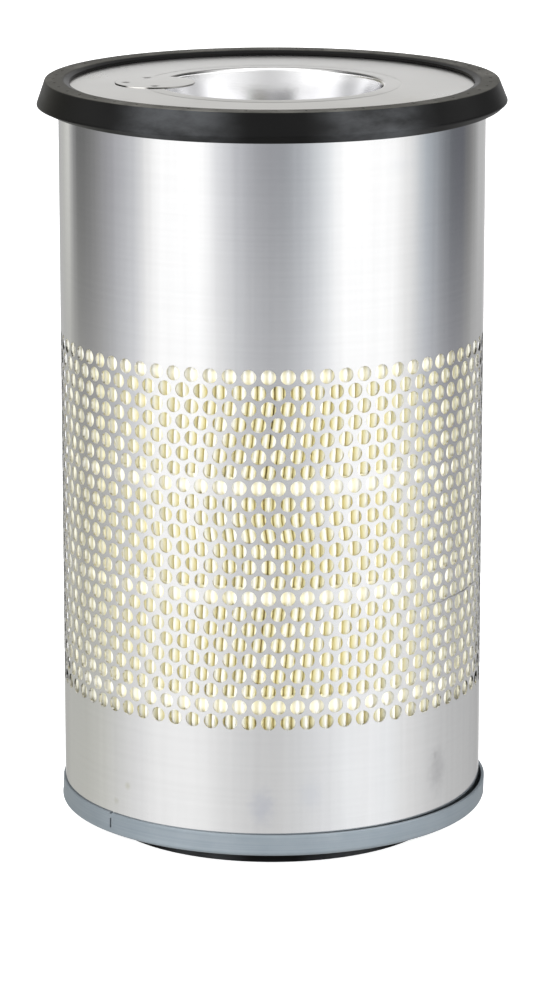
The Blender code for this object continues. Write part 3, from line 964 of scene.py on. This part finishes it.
# How bright the studio is at each azimuth, in degrees from -Y towards +X: just below the
# horizon, lower down, on the floor close to the element, above the horizon, higher and
# highest. A number is a grey.
LEVEL = [(-180, 0.66), (-164, 0.50), (-151, (0.66, 0.66, 0.63)), (-143, (0.86, 0.86, 0.82)),
         (-137, 0.50), (-130, 0.20), (-122, 0.21), (-112, 0.28), (-94, (0.53, 0.53, 0.56)),
         (-79, (0.80, 0.81, 0.84)), (-71, 1.12), (-65, 1.5), (-38, 1.6),
         (-29, (1.07, 1.08, 1.12)), (-18, (0.70, 0.71, 0.75)), (-8, (0.48, 0.49, 0.52)),
         (0, (0.41, 0.42, 0.45)), (8, (0.43, 0.45, 0.48)), (18, (0.63, 0.66, 0.70)),
         (29, (1.05, 1.09, 1.13)), (38, 1.6), (68, 1.5), (79, 1.20), (90, (0.61, 0.66, 0.71)),
         (103, (0.33, 0.35, 0.38)), (113, (0.17, 0.18, 0.20)), (124, (0.16, 0.165, 0.19)),
         (132, 0.26), (140, 0.38), (149, 0.62), (160, 0.60), (180, 0.68)]
MIDDLE = [(-180, 0.80), (-165, 0.56), (-151, (0.57, 0.57, 0.55)), (-143, (0.60, 0.60, 0.57)),
          (-136, (0.50, 0.50, 0.48)), (-127, (0.39, 0.39, 0.38)), (-116, 0.40), (-106, 0.49),
          (-94, (0.66, 0.67, 0.69)), (-79, (0.96, 0.97, 1.01)), (-70, 1.36), (-62, 1.55),
          (-39, 1.60), (-29, 1.24), (-18, (0.90, 0.91, 0.94)), (-9, (0.75, 0.76, 0.79)),
          (0, (0.67, 0.68, 0.71)), (9, (0.72, 0.73, 0.76)), (18, (0.91, 0.92, 0.96)),
          (29, (1.27, 1.28, 1.30)), (38, 1.58), (66, 1.55), (79, 1.10),
          (90, (0.75, 0.77, 0.82)), (103, (0.50, 0.51, 0.54)), (113, (0.375, 0.38, 0.41)),
          (123, (0.37, 0.375, 0.395)), (132, 0.46), (140, 0.58), (148, 0.56), (160, 0.51),
          (180, 0.80)]
NEAR_FLOOR = [(-180, 0.80), (-163, (0.48, 0.48, 0.46)), (-151, (0.60, 0.60, 0.56)),
              (-143, (0.63, 0.63, 0.59)), (-124, (0.70, 0.70, 0.65)),
              (-106, (0.82, 0.82, 0.77)), (-93, (0.92, 0.92, 0.90)), (-78, 1.07), (-65, 1.22),
              (-52, 1.27), (-40, 1.22), (-28, 1.08), (-16, 0.97),
              (-6, 0.89), (4, 0.91), (16, (0.97, 0.98, 0.99)), (29, (1.07, 1.08, 1.10)),
              (41, (1.19, 1.21, 1.23)), (53, (1.25, 1.26, 1.28)), (66, (1.20, 1.22, 1.24)),
              (79, 1.09), (91, 0.94), (103, 0.84), (114, 0.76), (125, 0.72), (134, 0.67),
              (148, 0.59), (160, 0.50), (180, 0.80)]
ABOVE = [(-180, 1.0), (-168, 0.95), (-155, (0.34, 0.33, 0.27)), (-140, (0.22, 0.21, 0.17)),
         (-120, (0.22, 0.21, 0.17)), (-106, (0.48, 0.47, 0.40)), (-92, 0.80), (-78, 1.35),
         (-66, 1.8), (-38, 1.6), (-28, 1.25), (-18, 1.05), (-8, 0.88), (2, 0.78), (12, 0.86),
         (23, 1.0), (34, 1.14), (46, 1.26), (58, 1.28), (69, 1.15), (81, 0.92), (94, 0.45),
         (108, 0.14), (150, 0.12), (168, 0.80), (180, 1.0)]
HIGH = [(-180, 0.44), (-160, (0.42, 0.41, 0.37)), (-142, (0.60, 0.60, 0.56)), (-128, 1.2),
        (-114, 1.9), (-95, 2.0), (-42, 2.0), (-16, 1.3), (10, 1.0), (22, 1.3), (38, 2.0),
        (112, 2.0), (124, 1.7), (140, 0.60), (160, 0.38), (180, 0.44)]
TOP = [(-180, 0.3), (-140, 0.06), (-98, 0.10), (-84, 0.5), (-71, 1.3), (-59, 2.0), (-48, 2.0),
       (-37, 2.0), (-26, 1.8), (-16, 1.1), (0, (0.75, 0.77, 0.82)), (14, 1.0), (26, 1.7),
       (37, 2.0), (48, 2.0), (59, 1.9), (71, 1.0), (81, 0.6), (91, 0.25), (102, 0.06),
       (150, 0.06), (180, 0.3)]

# Each band above the lowest, and between which two heights it takes over. A height is
# the z of the direction that is looked in.
BANDS = ((MIDDLE, -0.285, -0.195), (LEVEL, -0.205, -0.160), (ABOVE, -0.02, 0.05),
         (HIGH, 0.21, 0.30), (TOP, 0.35, 0.42))

# The ramps hold the levels divided by this, and the world multiplies by it again
STUDIO_STRENGTH = 2.0


def floor():
    """A pale floor that the camera sees as white but for the soft shadow.

    Mirrors don't see it, because the studio's lower bands stand in for it there.
    """
    half = 12
    material, tree = blank_tree("floor")
    diffuse = node(tree, "ShaderNodeBsdfDiffuse", {"Color": (0.86, 0.86, 0.86, 1.0)})
    glow = node(tree, "ShaderNodeEmission", {"Color": (1.0, 1.0, 1.0, 1.0), "Strength": 0.80})
    path = node(tree, "ShaderNodeLightPath")
    seen = node(tree, "ShaderNodeAddShader", {0: diffuse.outputs[0], 1: glow.outputs[0]})
    chosen = node(tree, "ShaderNodeMixShader", {
        0: path.outputs["Is Camera Ray"], 1: diffuse.outputs[0], 2: seen.outputs[0]})
    node(tree, "ShaderNodeOutputMaterial", {"Surface": chosen.outputs[0]})
    mesh = bpy.data.meshes.new("floor")
    corners = [(-half, -half, 0), (half, -half, 0), (half, half, 0), (-half, half, 0)]
    mesh.from_pydata(corners, [], [(0, 1, 2, 3)])
    mesh.materials.append(material)
    made = bpy.data.objects.new("floor", mesh)
    made.visible_glossy = False
    bpy.context.scene.collection.objects.link(made)


def surroundings():
    """White to the camera; to everything else a studio seen from its middle.

    Two tall softboxes stand in front to the left and right, the room on the
    camera's side and in the far corners is dim, and below the horizon the
    pale floor comes in. To mirrors and glass the backdrop straight behind
    the element is as white as to the camera.
    """
    world = bpy.data.worlds.new("studio")
    world.use_nodes = True
    bpy.context.scene.world = world
    tree = world.node_tree
    tree.nodes.clear()
    way = node(tree, "ShaderNodeTexCoord").outputs["Generated"]
    turn = turn_share(tree, bearing(tree, way))
    rise = math_node(tree, "MULTIPLY_ADD", split(tree, way)[2], 0.5, 0.5)
    glow = ramp(tree, turn, azimuth_stops(NEAR_FLOOR))
    for levels, start, end in BANDS:
        share = ramp(tree, rise, [(0.5 + 0.5 * start, 0.0), (0.5 + 0.5 * end, 1.0)])
        glow = mix(tree, share, glow, ramp(tree, turn, azimuth_stops(levels)))
    # Far below and far above, the studio is an even grey
    under = ramp(tree, rise, [(0.10, 1.0), (0.22, 0.0)], "EASE")
    glow = mix(tree, under, glow, (0.36, 0.36, 0.35))
    ceiling = ramp(tree, rise, [(0.85, 0.0), (0.96, 1.0)], "EASE")
    glow = mix(tree, ceiling, glow, (0.48, 0.48, 0.48))
    studio = node(tree, "ShaderNodeBackground", {"Color": glow, "Strength": STUDIO_STRENGTH})
    white = node(tree, "ShaderNodeBackground", {"Color": (1, 1, 1, 1), "Strength": 1.0})
    path = node(tree, "ShaderNodeLightPath")
    mirrored = math_node(tree, "ADD", path.outputs["Is Glossy Ray"],
                         path.outputs["Is Transmission Ray"])
    # The backdrop reaches 8 to 14 degrees round to either side, and from the horizon up
    behind = ramp(tree, turn, [(0.022, 1.0), (0.039, 0.0), (0.961, 0.0), (0.978, 1.0)])
    wall = ramp(tree, rise, [(0.49, 0.0), (0.515, 1.0), (0.60, 1.0), (0.62, 0.0)])
    backdrop = math_node(tree, "MULTIPLY", behind, wall)
    shown = math_node(tree, "MULTIPLY_ADD", mirrored, backdrop,
                      path.outputs["Is Camera Ray"], clamp=True)
    chosen = node(tree, "ShaderNodeMixShader", {
        0: shown, 1: studio.outputs[0], 2: white.outputs[0]})
    node(tree, "ShaderNodeOutputWorld", {"Surface": chosen.outputs[0]})


def azimuth_stops(levels):
    """Ramp stops from (degrees, level), divided by what the world multiplies with."""
    return [(share_at(degrees), tuple(part / STUDIO_STRENGTH for part in as_color(level)))
            for degrees, level in levels]


def softbox(name, azimuth, elevation, distance, width, height, power, glossy=True):
    """An area light that faces the element; the azimuth runs from -Y towards +X.

    Angles are in degrees, lengths in metres and the power is in watts.
    """
    azimuth, elevation = math.radians(azimuth), math.radians(elevation)
    aim = Vector((0, 0, 0.17))
    away = Vector((math.sin(azimuth) * math.cos(elevation),
                   -math.cos(azimuth) * math.cos(elevation), math.sin(elevation)))
    light = bpy.data.lights.new(name, "AREA")
    light.shape = "RECTANGLE"
    light.size, light.size_y = width, height
    light.energy = power
    made = bpy.data.objects.new(name, light)
    made.location = aim + away * distance
    made.rotation_euler = (-away).to_track_quat("-Z", "Y").to_euler()
    made.visible_camera = False
    made.visible_glossy = glossy
    bpy.context.scene.collection.objects.link(made)


def camera():
    """The photograph's camera; its optical axis is a little off the frame's middle."""
    data = bpy.data.cameras.new("camera")
    data.sensor_fit = "AUTO"
    data.sensor_width = SENSOR
    data.lens = FOCAL_PIXELS / PHOTO_HEIGHT * SENSOR
    data.shift_x = (PHOTO_WIDTH / 2 - PRINCIPAL_X) / PHOTO_HEIGHT
    data.shift_y = (PRINCIPAL_Y - PHOTO_HEIGHT / 2) / PHOTO_HEIGHT
    made = bpy.data.objects.new("camera", data)
    made.location = CAMERA_AT
    made.rotation_euler = (math.radians(90) - CAMERA_PITCH, 0, 0)
    bpy.context.scene.collection.objects.link(made)
    bpy.context.scene.camera = made


floor()
surroundings()
softbox("top_softbox", azimuth=10, elevation=75, distance=1.8, width=1.4, height=1.0, power=6)
for side, degrees in (("left", -52), ("right", 51)):
    softbox(side + "_softbox", azimuth=degrees, elevation=14, distance=1.6, width=0.6,
            height=1.4, power=11.5, glossy=False)
softbox("front_softbox", azimuth=0, elevation=12, distance=1.8, width=0.9, height=0.9,
        power=7, glossy=False)
camera()

bpy.context.scene.view_settings.view_transform = "Standard"
